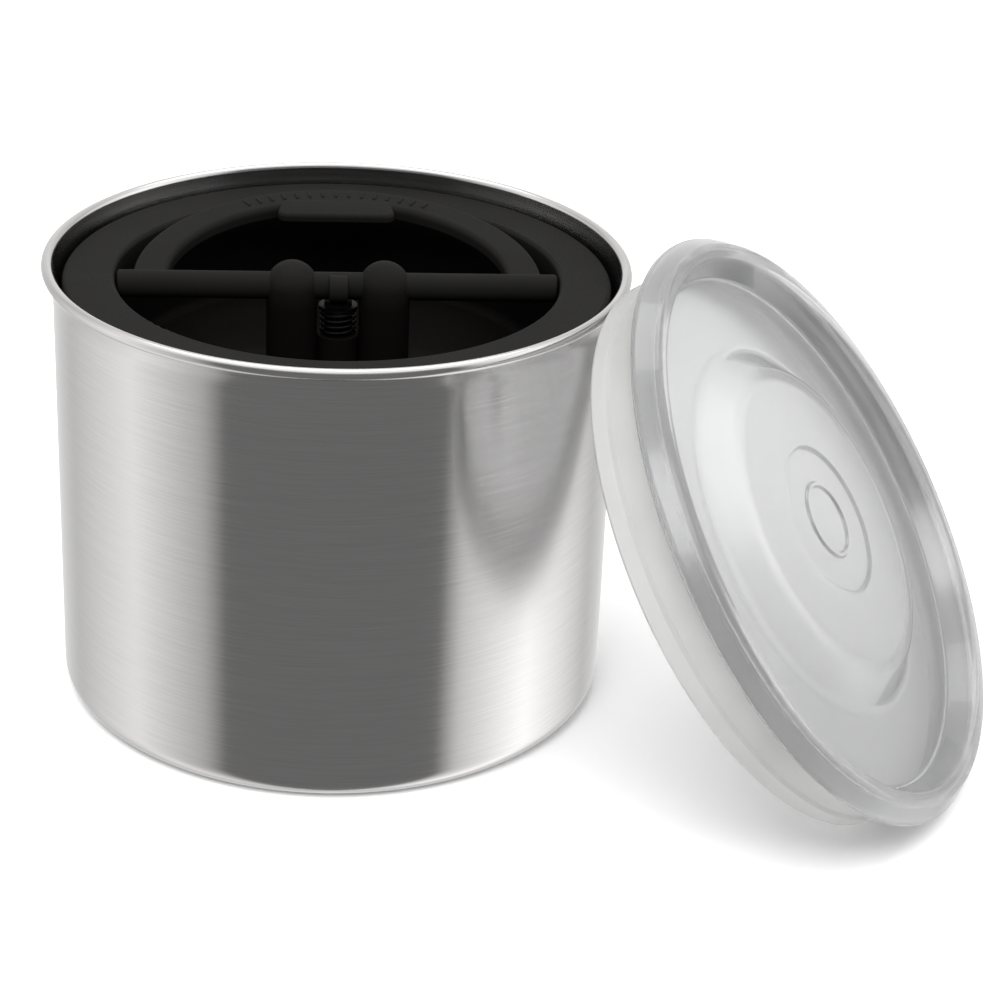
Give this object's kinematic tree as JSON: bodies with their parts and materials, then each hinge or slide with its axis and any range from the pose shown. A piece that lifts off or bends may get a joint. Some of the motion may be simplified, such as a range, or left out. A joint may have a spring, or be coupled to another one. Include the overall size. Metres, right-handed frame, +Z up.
{
  "type": "food canister",
  "caption": "Round brushed-steel food canister with a push-down black inner lid, folding handle and vent valve, and a clear outer lid with a soft sealing ring leaning on its rim.",
  "frame": {"origin": "centre of the canister's flat underside", "axes": "+Z up along the canister's axis; the outer lid leans on the +X side, turned 23 degrees towards -Y; the folded handle's arc is on the +Y side"},
  "size_m": [0.2087, 0.1688, 0.1119],
  "materials": {
    "brushed_steel": "fine circumferential brushing",
    "black_plastic": "fine moulded texture",
    "gasket_rubber": "smooth silicone",
    "spring_steel": "blackened wire and sheet",
    "clear_plastic": "hazy translucent moulding with a polished skin",
    "milky_plastic": "soft translucent milky ring"
  },
  "bodies": {
    "canister": {"canister_body": "brushed_steel"},
    "plunger": {"inner_lid_dish": "black_plastic", "inner_lid_gasket": "gasket_rubber", "pivot_saddle": "black_plastic", "left_pivot_cap": "black_plastic", "right_pivot_cap": "black_plastic", "cap_screws": "spring_steel", "valve_guide": "black_plastic", "valve_guard": "black_plastic", "valve_spring": "spring_steel"},
    "handle": {"handle": "black_plastic"},
    "valve": {"valve_stem": "black_plastic", "valve_disc": "black_plastic", "valve_washer": "gasket_rubber", "spring_clip": "spring_steel"},
    "outer_lid": {"outer_lid_cover": "clear_plastic", "outer_lid_seal": "milky_plastic"}
  },
  "joints": [
    {"name": "plunger_slide", "type": "slide", "parent": "canister", "child": "plunger", "axis": [0, 0, 1], "range_m": [-0.057, 0.06]},
    {"name": "handle_fold", "type": "hinge", "parent": "plunger", "child": "handle", "pos_m": [0, 0, 0.093], "axis": [0.9997, 0.0227, 0], "range_deg": [0, 85]},
    {"name": "valve_lift", "type": "slide", "parent": "plunger", "child": "valve", "axis": [0, 0, -1], "range_m": [0, 0.00201], "deforming": ["valve_spring"]},
    {"name": "outer_lid_tip", "type": "hinge", "parent": "canister", "child": "outer_lid", "pos_m": [0.13487, -0.05725, 0.005], "axis": [0.3907, 0.9205, 0], "range_deg": [0, 125]}
  ],
  "couplings": [
    {"joint": "valve_lift", "follows": "handle_fold", "m_per_rad": 0.001348}
  ]
}
